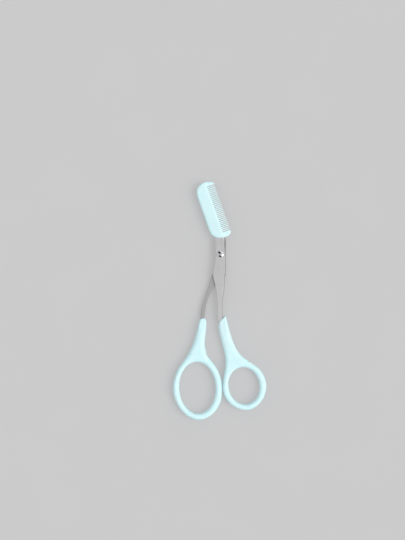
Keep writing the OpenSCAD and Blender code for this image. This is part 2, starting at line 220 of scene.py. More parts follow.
def plan_solid(name, loops, band, top, bottom, grid, more=(), lines=(), joined=False, relax=0):
    """Closed mesh over a plan. loops are the outer outline (counter-clockwise) and the openings
    (clockwise). band lists the first distances in from the outline, which get rows of their own;
    more lists further distances, which only get points. top and bottom give the heights of
    points from their place and their distance to the outline. joined welds the two faces at the
    outline; otherwise a wall joins them."""
    shares = [room(l, loops, band[-1]) for l in loops]
    rows = [[inward(l, d * k) for d in band] for l, k in zip(loops, shares)]
    last = [r[-1] for r in rows]
    seeds = []
    for l in loops:
        for d in more:
            q = inward(l, d)
            seeds.append(q[gap(q, loops) > 0.93 * d])
    lo, hi = loops[0].min(0), loops[0].max(0)
    far = (more[-1] if len(more) else band[-1]) + 0.55 * grid
    ys = np.arange(lo[1], hi[1], grid * 0.866)
    pts = np.array([[x + (grid / 2 if j % 2 else 0), y] for j, y in enumerate(ys)
                    for x in np.arange(lo[0], hi[0], grid)])
    pts = pts[within(pts, last)]
    seeds.append(pts[gap(pts, loops) > far])
    seeds = np.concatenate(seeds)
    if len(seeds):
        seeds = seeds[within(seeds, last) & (gap(seeds, last) > 0.04)]
    for l in lines:
        if len(seeds):
            seeds = seeds[gap(seeds, [np.vstack([l, l[::-1]])] if len(l) > 2 else [l]) > 0.12]
    verts, edges = [], []
    for l in last:
        o = len(verts)
        verts += [tuple(p) for p in l]
        edges += [(o + i, o + (i + 1) % len(l)) for i in range(len(l))]
    for l in lines:
        o = len(verts)
        verts += [tuple(p) for p in l]
        edges += [(o + i, o + i + 1) for i in range(len(l) - 1)]
    n_fixed = sum(len(l) for l in last)
    verts += [tuple(p) for p in seeds]
    cv, ce, cf, origin, side_of, _ = delaunay_2d_cdt([Vector(v) for v in verts], edges, [], 0, 1e-7, True)
    core = np.array([(v.x, v.y) for v in cv])
    where = np.full(len(verts), -1)
    for i, o in enumerate(origin):
        for k in o:
            where[k] = i
    if (where[:n_fixed] < 0).any() or len(set(where[:n_fixed])) != n_fixed:
        raise RuntimeError("plan_solid: %s lost points of its outline" % name)
    bars = {tuple(sorted(e)) for e, o in zip(ce, side_of) if any(k < n_fixed for k in o)}
    if len(bars) != n_fixed:
        raise RuntimeError("plan_solid: %s has %d sides for %d points, so some cross" % (name, len(bars), n_fixed))
    tri = np.array([list(f) for f in cf])
    tri = tri[enclosed(tri, bars)]
    flip = np.cross(core[tri[:, 1]] - core[tri[:, 0]], core[tri[:, 2]] - core[tri[:, 0]]) < 0
    tri[flip] = tri[flip][:, ::-1]
    dist = gap(core, loops)
    o = 0
    for l in last:
        dist[where[o:o + len(l)]] = band[-1]
        o += len(l)
    core_top, core_bot = top(core, dist), bottom(core, dist)
    if relax:
        e = np.unique(np.sort(np.vstack([tri[:, [0, 1]], tri[:, [1, 2]], tri[:, [2, 0]]]), 1), axis=0)
        free = smooth01((dist - 0.9) / 0.4)
        for _ in range(relax):
            for h in (core_top, core_bot):
                total = np.bincount(e[:, 0], h[e[:, 1]], len(core)) + np.bincount(e[:, 1], h[e[:, 0]], len(core))
                count = np.bincount(e.ravel(), minlength=len(core))
                h += free * 0.5 * (total / np.maximum(count, 1) - h)
    nc = len(core)
    out = [np.column_stack([core, core_top]), np.column_stack([core, core_bot])]
    rim = [dist, dist]
    right = [] if joined else [gap(core, loops[:1], True)] * 2
    faces = [tuple(f) for f in tri] + [tuple(f[::-1] + nc) for f in tri]
    base = 2 * nc
    start = 0
    for li, l in enumerate(loops):
        n = len(l)
        top_rows, bot_rows = [], []
        for j, d in enumerate(band[:-1]):
            q = rows[li][j]
            dd = np.full(n, d)
            out.append(np.column_stack([q, top(q, dd)]))
            rim.append(dd)
            if not joined:
                right.append(gap(q, loops[:1], True))
            top_rows.append(base + np.arange(n))
            base += n
            if joined and j == 0:
                bot_rows.append(top_rows[0])
            else:
                out.append(np.column_stack([q, bottom(q, dd)]))
                rim.append(dd)
                if not joined:
                    right.append(right[-1])
                bot_rows.append(base + np.arange(n))
                base += n
        fixed = where[start:start + n]
        start += n
        top_rows.append(fixed)
        bot_rows.append(fixed + nc)
        for j in range(len(band) - 1):
            for i in range(n):
                k = (i + 1) % n
                faces.append((top_rows[j][i], top_rows[j][k], top_rows[j + 1][k], top_rows[j + 1][i]))
                faces.append((bot_rows[j][k], bot_rows[j][i], bot_rows[j + 1][i], bot_rows[j + 1][k]))
        if not joined:
            for i in range(n):
                k = (i + 1) % n
                faces.append((bot_rows[0][i], bot_rows[0][k], top_rows[0][k], top_rows[0][i]))
    v = np.concatenate(out)
    v[:, :2] -= MIDDLE
    v[:, 2] += MATE_Z
    ob = mesh_object(name, v * MM, faces)
    if not joined:
        for label, values in (("from_edge", rim), ("from_right", right)):
            near = ob.data.attributes.new(label, "FLOAT", "POINT")
            near.data.foreach_set("value", np.concatenate(values).astype(np.float32))
    return ob


def mesh_object(name, verts, faces):
    me = bpy.data.meshes.new(name)
    me.from_pydata([tuple(map(float, p)) for p in verts], [], [tuple(int(i) for i in f) for f in faces])
    me.validate()
    me.update()
    ob = bpy.data.objects.new(name, me)
    bpy.context.scene.collection.objects.link(ob)
    return ob


def shade(ob, angle=32):
    me = ob.data
    me.polygons.foreach_set("use_smooth", [True] * len(me.polygons))
    me.set_sharp_from_angle(angle=math.radians(angle))
    me.update()


def carve(ob, cutter, operation="DIFFERENCE"):
    """Applies an exact boolean and removes the cutter."""
    m = ob.modifiers.new("carve", "BOOLEAN")
    m.operation, m.solver, m.object = operation, "EXACT", cutter
    bpy.context.view_layer.update()
    dg = bpy.context.evaluated_depsgraph_get()
    me = bpy.data.meshes.new_from_object(ob.evaluated_get(dg))
    ob.modifiers.clear()
    old = ob.data
    ob.data = me
    me.name = ob.name
    bpy.data.meshes.remove(old)
    bpy.data.objects.remove(cutter)
    bm = bmesh.new()
    bm.from_mesh(ob.data)
    bmesh.ops.dissolve_degenerate(bm, dist=1e-7, edges=bm.edges)
    many = [f for f in bm.faces if len(f.verts) > 4]
    if many:
        bmesh.ops.triangulate(bm, faces=many, quad_method="BEAUTY", ngon_method="BEAUTY")
    bm.to_mesh(ob.data)
    bm.free()


def prism(name, loop, z0, z1):
    """Plain closed prism, used as a cutter."""
    n = len(loop)
    v = np.vstack([np.column_stack([loop, np.full(n, z0)]), np.column_stack([loop, np.full(n, z1)])])
    v[:, :2] -= MIDDLE
    v[:, 2] += MATE_Z
    faces = [tuple(range(n))[::-1], tuple(range(n, 2 * n))]
    faces += [(i, (i + 1) % n, n + (i + 1) % n, n + i) for i in range(n)]
    return mesh_object(name, v * MM, faces)


# ------------------------------------------------------------------ steel halves

K = 6
front_back_edge = [[2.25, 28.2], [1.75, 27.5], [0.85, 25.9], [-0.4, 22.6], [-1.4, 18], [-2, 12], [-2.3, 6], [-2.38, 1]]
front_left = [[-1.8, 29.4], [-1.8, 26], [-1.82, 22.5], [-2, 19.2], [-2.5, 16.6], [-3.05, 14.3]]
front_notch = [[-3.05, 14.3], [-2.4, 11], [-1.65, 8], [-1.25, 5.2], [-0.85, 2], [-0.73, -1.1], [-0.68, -4.2],
               [-0.6, -7.3], [-0.3, -9.4], [0.4, -11.2], [1.2, -13.6], [2.2, -17.2], [3.35, -21], [4.4, -24.2]]
front_right = [[5.85, -23.5], [5.1, -20.8], [4.1, -17.2], [3.25, -13.6], [2.6, -10.4], [2.15, -7.3], [2.1, -3.2],
               [2.32, 1], [2.78, 4.1], [3.15, 7.2], [3.36, 10.9], [3.42, 15], [3.33, 18.7], [3.28, 24.4], [3.2, 29]]
rear_edge = [[1.52, 27.7], [-0.88, 0.4]]
rear_left = [[-0.9, 29.6], [-1.35, 26], [-1.45, 22.5], [-1.65, 19.2], [-2.15, 16.6], [-2.9, 14.5], [-3.7, 12.4],
             [-4.35, 10.3], [-4.9, 8.3], [-5.45, 6.7], [-5.95, 5.2], [-6.45, 3.6], [-7.05, 1.9], [-7.6, 0.2],
             [-8.35, -2.2], [-8.9, -4.8], [-9.2, -7.4], [-9.3, -9.6], [-9.6, -13.4], [-10.25, -18], [-10.95, -22.6]]
rear_right = [[-9.5, -22.8], [-8.6, -18], [-7.8, -13.4], [-7.3, -9.6], [-7, -7.4], [-6.7, -4.8], [-6.2, -2.1],
              [-5.6, 0], [-5.1, 1.6], [-4.5, 3.1], [-3.85, 4.5], [-3.2, 5.7], [-2.5, 6.8], [-1.7, 7.7], [-0.2, 8.6],
              [1.6, 9.8], [3, 11.3], [3.7, 12.7], [3.95, 14.4], [3.95, 18], [3.95, 24.4], [3.95, 30.4]]
rear_back_edge = [[3.07, -0.6], [3.05, 2], [2.95, 8], [2.82, 15], [2.68, 21], [2.55, 25.5], [2.35, 27.6], [2, 28.2],
                  [1.7, 28.1]]

front_outline = tidy(np.vstack([
    on_blade(open_curve(front_back_edge, K)), open_curve(front_left, K), open_curve(front_notch, K)[1:],
    [[5, -24.9], [5.8, -24.4]], open_curve(front_right, K), on_blade([[2.47, 0.2], [2.47, 27.4], [2.43, 27.95]])]))
rear_outline = tidy(np.vstack([
    on_blade(rear_edge), open_curve(rear_left, K), [[-10.7, -23.6], [-9.9, -23.7]],
    open_curve(rear_right, K), on_blade(open_curve(rear_back_edge, K))]))

EASE = 0.12          # how far in the steel's edges are eased
BEVEL_W, LAND = 1.9, 0.2
SLOPE = (STEEL_T - LAND) / BEVEL_W
RUN_OUT = 3.0        # length over which the ground bevel runs out


def eased(d):
    return 1 - quarter(d / EASE)


def run_out(y):
    return (STEEL_T - LAND) * np.clip((0.9 + RUN_OUT - y) / RUN_OUT, 0, 1.6) ** 2


def front_top_plain(p):
    x, y = to_blade(p)
    ground = FRONT_Z0 + LAND + SLOPE * (EDGE_X - x) + run_out(y)
    return np.where(y > 0.3, np.minimum(FRONT_Z1, np.maximum(ground, FRONT_Z0 + LAND)), FRONT_Z1)


def front_top(p, d):
    z = front_top_plain(p)
    return z - np.minimum(EASE, 0.3 * (z - FRONT_Z0)) * eased(d)


def front_bottom(p, d):
    z = front_top_plain(p)
    return FRONT_Z0 + np.minimum(0.08, 0.12 * (z - FRONT_Z0)) * eased(d)


def edge_side(p):
    """Distance behind the rear half's cutting edge, and the place along the blade."""
    x, y = to_blade(p)
    (x1, y1), (x0, y0) = rear_edge
    l = math.hypot(x1 - x0, y1 - y0)
    return ((x - x0) * (y1 - y0) - (y - y0) * (x1 - x0)) / l, y


def rear_bottom_plain(p):
    s, y = edge_side(p)
    ground = REAR_Z1 - LAND - SLOPE * s - run_out(y)
    return np.where(y > 0.3, np.maximum(REAR_Z0, np.minimum(ground, REAR_Z1 - LAND)), REAR_Z0)


def rear_bottom(p, d):
    z = rear_bottom_plain(p)
    return z + np.minimum(EASE, 0.3 * (REAR_Z1 - z)) * eased(d)


def rear_top(p, d):
    z = rear_bottom_plain(p)
    return REAR_Z1 - np.minimum(0.08, 0.12 * (REAR_Z1 - z)) * eased(d)


def bevel_line(x_at, y_end):
    """Points of the line where the ground bevel starts, x_at(y) being that line where it is straight."""
    ys = np.concatenate([np.linspace(1.15, 0.9 + RUN_OUT, 12), np.linspace(0.9 + RUN_OUT, y_end, 60)[1:]])
    return ys, np.array([x_at(y) for y in ys]) + BEVEL_W * np.clip((0.9 + RUN_OUT - ys) / RUN_OUT, 0, 1) ** 2


ys, xs = bevel_line(lambda y: EDGE_X - BEVEL_W, 24.6)
front_line = on_blade(np.stack([xs, ys], 1))
(ex1, ey1), (ex0, ey0) = rear_edge
edge_lean = math.atan2(ex1 - ex0, ey1 - ey0)
ys, xs = bevel_line(lambda y: ex0 + (y - ey0) * math.tan(edge_lean) + BEVEL_W / math.cos(edge_lean), 17.6)
rear_line = on_blade(np.stack([xs, ys], 1))

front_bore = circle(PIVOT, 1.05, 72)[::-1]
front_lock = circle([3.22, -17.5], 0.5, 28)[::-1]
rear_bore = circle(PIVOT, 1.0, 72)[::-1]
rear_lock = circle([-9.35, -17.5], 0.5, 28)[::-1]
BAND = [0, 0.018, 0.06, 0.12]

front_steel = plan_solid("front_blade_steel", [refine(front_outline, 0.4), front_bore, front_lock], BAND,
                         front_top, front_bottom, 0.7, more=[0.35], lines=[front_line])
rear_steel = plan_solid("rear_blade_steel", [refine(rear_outline, 0.4), rear_bore, rear_lock], BAND,
                        rear_top, rear_bottom, 0.7, more=[0.35], lines=[rear_line])
for ob in (front_steel, rear_steel):
    shade(ob, 24)


# ------------------------------------------------------------------ pivot screw

HEAD_D, RIM_H, DOME_H, SHANK_D = 3.4, 0.4, 0.35, 2.0
SLOT_W, SLOT_DEPTH, SLOT_TURN = 0.6, 0.4, math.radians(8)
HEAD_Z = FRONT_Z1 + 0.03
DOME_R = (HEAD_D ** 2 / 4 + DOME_H ** 2) / (2 * DOME_H)


def screw_mesh():
    """Domed, slotted head on a turned shank: a lathe profile, then the slot is cut."""
    n = 96
    top = HEAD_Z + RIM_H + DOME_H
    r_head = HEAD_D / 2
    prof = [(0.0, top)]
    for i in range(1, 15):
        r = (r_head - 0.07) * i / 14
        prof.append((r, top - DOME_R + math.sqrt(DOME_R ** 2 - r * r)))
    z_rim = prof[-1][1]
    prof += [(r_head - 0.03, z_rim - 0.03), (r_head - 0.005, z_rim - 0.07), (r_head, z_rim - 0.11),
             (r_head, HEAD_Z + 0.05), (r_head - 0.015, HEAD_Z + 0.015), (r_head - 0.05, HEAD_Z),
             (SHANK_D / 2 + 0.02, HEAD_Z), (SHANK_D / 2, HEAD_Z - 0.02)]
    low = REAR_Z0 - 0.15
    prof += [(SHANK_D / 2, low + 0.2), (SHANK_D / 2 - 0.02, low + 0.12), (SHANK_D / 2 - 0.12, low + 0.02),
             (SHANK_D / 2 - 0.2, low), (0.0, low)]
    verts, faces = [(PIVOT[0], PIVOT[1], prof[0][1])], []
    for r, z in prof[1:-1]:
        verts += [(PIVOT[0] + r * math.cos(2 * math.pi * i / n), PIVOT[1] + r * math.sin(2 * math.pi * i / n), z)
                  for i in range(n)]
    verts.append((PIVOT[0], PIVOT[1], prof[-1][1]))
    for i in range(n):
        faces.append((0, 1 + i, 1 + (i + 1) % n))
    for j in range(len(prof) - 3):
        a, b = 1 + j * n, 1 + (j + 1) * n
        faces += [(a + i, b + i, b + (i + 1) % n, a + (i + 1) % n) for i in range(n)]
    a, e = 1 + (len(prof) - 3) * n, len(verts) - 1
    for i in range(n):
        faces.append((a + i, e, a + (i + 1) % n))
    v = np.array(verts)
    v[:, :2] -= MIDDLE
    v[:, 2] += MATE_Z
    return mesh_object("pivot_screw_head", v * MM, faces)


def slot_cutter():
    """Slot with eased lips and a slightly rounded floor, as a bar across the head."""
    floor = HEAD_Z + RIM_H + DOME_H - SLOT_DEPTH
    h = SLOT_W / 2
    section = [(-h + 0.06, floor), (h - 0.06, floor), (h, floor + 0.05), (h, floor + 0.27), (h + 0.03, floor + 0.36),
               (h + 0.12, floor + 0.46), (h + 0.12, floor + 1), (-h - 0.12, floor + 1), (-h - 0.12, floor + 0.46),
               (-h - 0.03, floor + 0.36), (-h, floor + 0.27), (-h, floor + 0.05)]
    c, s = math.cos(SLOT_TURN), math.sin(SLOT_TURN)
    verts = []
    for u in (-2.4, 2.4):
        verts += [(PIVOT[0] + u * c - w * s, PIVOT[1] + u * s + w * c, z) for w, z in section]
    m = len(section)
    faces = [tuple(range(m))[::-1], tuple(range(m, 2 * m))]
    faces += [(i, (i + 1) % m, m + (i + 1) % m, m + i) for i in range(m)]
    v = np.array(verts)
    v[:, :2] -= MIDDLE
    v[:, 2] += MATE_Z
    return mesh_object("slot_cutter", v * MM, faces)


screw = screw_mesh()
carve(screw, slot_cutter())
shade(screw, 28)


# ------------------------------------------------------------------ moulded grips

finger_right = [[-5.95, -28.2], [-6.65, -25.6], [-7.15, -22.9], [-7.05, -20.3], [-6.75, -17.7], [-6.45, -15.1],
                [-6.3, -12.6], [-6.3, -11.1], [-6.6, -9.8], [-7.25, -9.1]]
finger_tip = [[-7.95, -8.85]]
finger_left = [[-8.75, -9.05], [-9.55, -9.7], [-10.1, -11.1], [-10.5, -12.8], [-11.1, -15.2], [-11.75, -17.7],
               [-12.5, -20.3], [-13.45, -22.9], [-14.65, -25.5], [-16.1, -28.2]]
finger_ring = [[-17.9, -30.8], [-19.7, -33.3], [-21.3, -36], [-22.55, -39], [-23.35, -42], [-23.65, -45],
               [-23.45, -48.2], [-22.65, -51.3], [-21.35, -54.2], [-19.5, -56.9], [-17.2, -59.2], [-14.4, -60.95],
               [-11.3, -61.85], [-8.1, -61.65], [-5.2, -60.5], [-2.6, -58.5], [-0.6, -56], [0.75, -53.4],
               [1.55, -50.8], [1.88, -48], [1.9, -45], [1.6, -41.8], [0.75, -38.7], [-0.5, -35.9], [-2.1, -33.3],
               [-4.1, -30.8]]
thumb_right = [[15, -30.8], [11.7, -28.2], [9.75, -25.6], [8.35, -22.9], [7.3, -20.3], [6.4, -17.7], [5.65, -15.1],
               [5, -12.6], [4.5, -10.6], [4.15, -9.1], [3.85, -8.2]]
thumb_tip = [[3.35, -7.95]]
thumb_left = [[2.6, -8.45], [1.5, -9.5], [0.55, -10.7], [0.12, -12.1], [0.25, -15], [0.85, -17.7], [1.45, -20.3],
              [2.1, -22.9], [2.8, -25.6], [3.35, -28.2], [3.7, -30.8]]
thumb_ring = [[3.7, -33.6], [3.3, -36.6], [2.75, -39.6], [2.35, -42.6], [2.25, -45.2], [2.65, -48], [3.75, -50.6],
              [5.5, -52.95], [7.7, -54.8], [10.4, -56.15], [13.3, -56.85], [16.4, -56.65], [19.3, -55.25],
              [21.7, -53.1], [23.5, -50.4], [24.55, -47.4], [24.9, -44.2], [24.5, -41.2], [23.4, -38.4],
              [21.6, -35.7], [18.8, -33.3]]

SEAM = 0.05          # how far the mould's parting line stands out


def grip_mesh(name, outline, hole_c, hole_w, hole_l, tilt, ring_r, neck_r, tip_r, tip_y):
    """A grip moulded round its tang: rounded all over, with the mould's parting line round its middle."""
    outer = even(loop_curve(outline, 12), 0.26)
    n = int(math.pi * (hole_w + hole_l) / 2 / 0.3)
    a = np.arange(n) * 2 * math.pi / n
    c, s = math.cos(math.radians(tilt)), math.sin(math.radians(tilt))
    hx, hy = hole_w / 2 * np.cos(a), hole_l / 2 * np.sin(a)
    hole = even(np.stack([hole_c[0] + hx * c - hy * s, hole_c[1] + hx * s + hy * c], 1), 0.26)[::-1]

    def radius(y):
        below = tip_y - y
        r = tip_r + (neck_r - tip_r) * smooth01((below - 1) / 12)
        return r + (ring_r - neck_r) * smooth01((below - 18) / 8)

    def half(y):
        return GRIP_T / 2 * (0.9 + 0.1 * smooth01((tip_y - y) / 11))

    def top(p, d):
        y = p[:, 1]
        body = half(y) * quarter((d - SEAM) / radius(y))
        return np.where(d <= SEAM + 1e-6, np.where(d < 1e-6, 0, 0.07), np.maximum(body, 0.07))

    def bottom(p, d):
        return -top(p, d)

    r0 = 1.3
    steps = [SEAM + r0 * (1 - math.cos(math.radians(t))) for t in (6, 12, 18, 25, 32, 40)]
    more = [SEAM + r0 * (1 - math.cos(math.radians(t))) for t in (48, 57, 66, 76, 86)]
    return plan_solid(name, [outer, hole], [0, SEAM] + steps, top, bottom, 0.32, more=more, joined=True, relax=3)


finger_grip = grip_mesh("finger_grip", finger_right + finger_tip + finger_left + finger_ring,
                        [-10.95, -45.25], 19, 26.9, 3, 1.3, 2.2, 0.7, -8.85)
thumb_grip = grip_mesh("thumb_grip", thumb_right + thumb_tip + thumb_left + thumb_ring,
                       [13.3, -44.2], 16.2, 19.4, 10, 1.25, 2.1, 0.5, -7.95)


def tang_cutter(name, outline, z0, z1):
    """Room that the tang fills in its grip."""
    loop = inward(outline, -0.004)
    return prism(name, loop[loop[:, 1] < 2], z0, z1)


carve(finger_grip, tang_cutter("finger_tang_room", rear_outline, REAR_Z0 - 0.004, REAR_Z1 + 0.004))
carve(thumb_grip, tang_cutter("thumb_tang_room", front_outline, FRONT_Z0 - 0.004, FRONT_Z1 + 0.004))
for ob in (finger_grip, thumb_grip):
    shade(ob, 40)


# ------------------------------------------------------------------ comb

COMB_TOP = FRONT_Z1 + 0.05 + 1.1
CHANNEL_Z0, CHANNEL_Z1 = FRONT_Z0 - 0.05, FRONT_Z1 + 0.05
comb_foot = [[-3.53, 7], [-3.42, 5.3], [-2.98, 3.8], [-2, 2.45], [-0.6, 1.3], [1, 0.75], [2.8, 0.55], [4.5, 0.6], [5.8, 1], [6.6, 1.75],
             [6.85, 2.5], [6.6, 3.05], [6, 3.15]]
comb_head = [[6.6, 28.35], [7.15, 28.55], [6.9, 29], [5.6, 29.95], [3.8, 30.6], [1.8, 30.75], [0.3, 30.5], [-1, 29.9],
             [-2.2, 29], [-3.05, 27.6], [-3.44, 25.9], [-3.53, 24.2]]
FIRST_TOOTH = 3.15 + 0.43 + 0.29


def comb_outline():
    pts = list(open_curve(comb_foot, 6))
    pts.append([5.2, 3.17])
    for i in range(26):
        c = FIRST_TOOTH + i * PERIOD
        w0, w1 = 0.58 / 2, 0.4 / 2
        lead = c - PERIOD / 2 if i else c - w0 - 0.2
        gap_w = (PERIOD / 2 - w0) if i else 0.2
        # rounded root of the gap before this tooth
        if i:
            for t in (-60, -25, 0, 25, 60):
                pts.append([ROOT_X + 0.09 - 0.16 * math.cos(math.radians(t)), lead + gap_w * math.sin(math.radians(t))])
        else:
            pts += [[ROOT_X + 0.03, c - w0 - 0.42], [ROOT_X - 0.06, c - w0 - 0.3], [ROOT_X - 0.06, c - w0 - 0.14]]
        pts.append([ROOT_X + 0.1, c - w0])
        pts.append([TOOTH_END_X - 0.28, c - w1])
        for t in (25, 50, 75, 90, 105, 130, 155):
            a = math.radians(t)
            pts.append([TOOTH_END_X - 0.28 + 0.28 * math.sin(a), c - w1 * math.cos(a)])
        pts.append([TOOTH_END_X - 0.28, c + w1])
        pts.append([ROOT_X + 0.1, c + w0])
    end = FIRST_TOOTH + 25 * PERIOD + 0.29
    pts += [[ROOT_X - 0.06, end + 0.14], [ROOT_X - 0.06, end + 0.3], [ROOT_X + 0.03, end + 0.4], [5.2, end + 0.42]]
    pts += list(open_curve(comb_head, 6))
    return np.array(pts)


def comb_mesh():
    plan = refine(tidy(comb_outline(), 0.01), 0.3)
    loop = on_blade(plan)

    def edge_round(x, y):
        """Rounding of the top's edge: wide round the spine, less on the end guards, least on the teeth."""
        r = 0.42 + 0.62 * (1 - smooth01((x + 0.5) / 3.6))
        among = smooth01((x - 1.5) / 1.2) * smooth01((y - 2.35) / 0.9) * smooth01((29.1 - y) / 0.9)
        return r + (0.13 - r) * among

    slant = lambda y: -1.35 + (y + 2) * (1.1 + 1.35) / 28.5

    def faces_plain(x, y):
        """Heights of the top and the underside before their edges are rounded."""
        high = np.where(x < ROOT_X - 1.1, COMB_TOP - 0.007 * (x - 0.2) ** 2,
                        COMB_TOP - 0.016 - 0.3 * smooth01((x - ROOT_X + 1.1) / 2.0) - 0.14 * np.maximum(0, x - ROOT_X + 0.3))
        solid = (x < slant(y)) | ((y > 28.6) & (x < 2.67))
        return high, np.where(solid, -MATE_Z, 0.8 + 0.114 * np.maximum(0, x - ROOT_X))

    def top(p, d):
        x, y = to_blade(p)
        high, low = faces_plain(x, y)
        r = edge_round(x, y)
        return high - np.minimum(0.9 * r, 0.4 * (high - low)) * (1 - quarter(d / r))

    def bottom(p, d):
        x, y = to_blade(p)
        high, low = faces_plain(x, y)
        r = np.maximum(0.13, 0.5 * edge_round(x, y))
        return low + np.minimum(0.8 * r, 0.2 * (high - low)) * (1 - quarter(d / r))

    # both sides of the line where the thick lip under the blade ends
    ys = np.linspace(2.4, 28.55, 70)
    left = on_blade(np.stack([slant(ys) - 0.01, ys], 1))
    right = on_blade(np.stack([slant(ys) + 0.01, ys], 1))
    low_x = np.linspace(slant(28.6) + 0.05, 2.6, 8)
    a = on_blade(np.stack([low_x, np.full(8, 28.59)], 1))
    b = on_blade(np.stack([low_x, np.full(8, 28.61)], 1))
    ob = plan_solid("clip_comb", [loop], [0, 0.012, 0.045, 0.1], top, bottom, 0.5,
                    more=[0.22, 0.38, 0.58, 0.8, 1.05], lines=[left, right, a, b])
    channel = np.vstack([[[EDGE_X + 0.2, -2], [EDGE_X + 0.2, 28.5], [1.9, 28.5]],
                         open_curve([[1.45, 27.7], [0.65, 26.1], [-0.58, 22.8], [-1.56, 18.1], [-2.15, 12], [-2.45, 6],
                                     [-2.52, 0.9]], 6), [[-2.52, -2]]])
    carve(ob, prism("channel_cutter", on_blade(channel), CHANNEL_Z0, CHANNEL_Z1))
    return ob


comb = comb_mesh()
shade(comb, 34)


# ------------------------------------------------------------------ materials

def new_material(name):
    m = bpy.data.materials.new(name)
    m.use_nodes = True
    t = m.node_tree
    t.nodes.clear()
    out = t.nodes.new("ShaderNodeOutputMaterial")
    b = t.nodes.new("ShaderNodeBsdfPrincipled")
    t.links.new(b.outputs["BSDF"], out.inputs["Surface"])
    return m, t, b


def node(t, kind, **values):
    n = t.nodes.new(kind)
    for k, v in values.items():
        if hasattr(n, k):
            setattr(n, k, v)
        else:
            n.inputs[k].default_value = v
    return n


def noise(t, vector, scale, detail=3.0, rough=0.55):
    n = node(t, "ShaderNodeTexNoise")
    n.inputs["Scale"].default_value = scale
    n.inputs["Detail"].default_value = detail
    n.inputs["Roughness"].default_value = rough
    t.links.new(vector, n.inputs["Vector"])
    return n.outputs["Fac"]


def ramp(t, fac, stops):
    n = node(t, "ShaderNodeValToRGB")
    e = n.color_ramp.elements
    while len(e) < len(stops):
        e.new(0.5)
    for i, (pos, col) in enumerate(stops):
        e[i].position = pos
        e[i].color = (*col, 1) if len(col) == 3 else col
    t.links.new(fac, n.inputs["Fac"])
    return n.outputs["Color"]


def spread(t, fac, lo, hi, a=0.3, b=0.7):
    n = node(t, "ShaderNodeMapRange")
    n.inputs["From Min"].default_value, n.inputs["From Max"].default_value = a, b
    n.inputs["To Min"].default_value, n.inputs["To Max"].default_value = lo, hi
    t.links.new(fac, n.inputs["Value"])
    return n.outputs["Result"]


def math_node(t, op, a, b):
    n = node(t, "ShaderNodeMath", operation=op)
    for i, v in enumerate((a, b)):
        if isinstance(v, (int, float)):
            n.inputs[i].default_value = v
        else:
            t.links.new(v, n.inputs[i])
    return n.outputs[0]


def bump(t, height, distance, strength, into=None):
    n = node(t, "ShaderNodeBump")
    n.inputs["Distance"].default_value = distance
    n.inputs["Strength"].default_value = strength
    t.links.new(height, n.inputs["Height"])
    if into is not None:
        t.links.new(into, n.inputs["Normal"])
    return n.outputs["Normal"]


def plastic(name, deep, light, rough):
    """Moulded light plastic: milky body, fine orange peel, flow clouding and faint handling marks."""
    m, t, b = new_material(name)
    obj = node(t, "ShaderNodeTexCoord").outputs["Object"]
    clouds = noise(t, obj, 140, 3, 0.5)
    col = ramp(t, clouds, [(0.3, deep), (0.72, light)])
    t.links.new(col, b.inputs["Base Color"])
    peel = noise(t, obj, 1500, 2, 0.5)
    grainy = noise(t, obj, 9000, 2, 0.6)
    marks = node(t, "ShaderNodeMapping")
    marks.inputs["Rotation"].default_value = (0.3, 0.2, 0.6)
    marks.inputs["Scale"].default_value = (5200, 260, 2600)
    t.links.new(obj, marks.inputs["Vector"])
    rub = noise(t, marks.outputs["Vector"], 1.0, 2, 0.5)
    r = spread(t, peel, rough - 0.05, rough + 0.05)
    r = math_node(t, "ADD", r, spread(t, rub, 0.0, 0.07, 0.55, 0.8))
    t.links.new(r, b.inputs["Roughness"])
    n1 = bump(t, peel, 0.00003, 0.22)
    n2 = bump(t, grainy, 0.000006, 0.25, n1)
    t.links.new(n2, b.inputs["Normal"])
    b.inputs["IOR"].default_value = 1.48
    b.inputs["Subsurface Weight"].default_value = 0.22
    b.inputs["Subsurface Radius"].default_value = (0.45, 0.95, 1.0)
    b.inputs["Subsurface Scale"].default_value = 0.0016
    return m


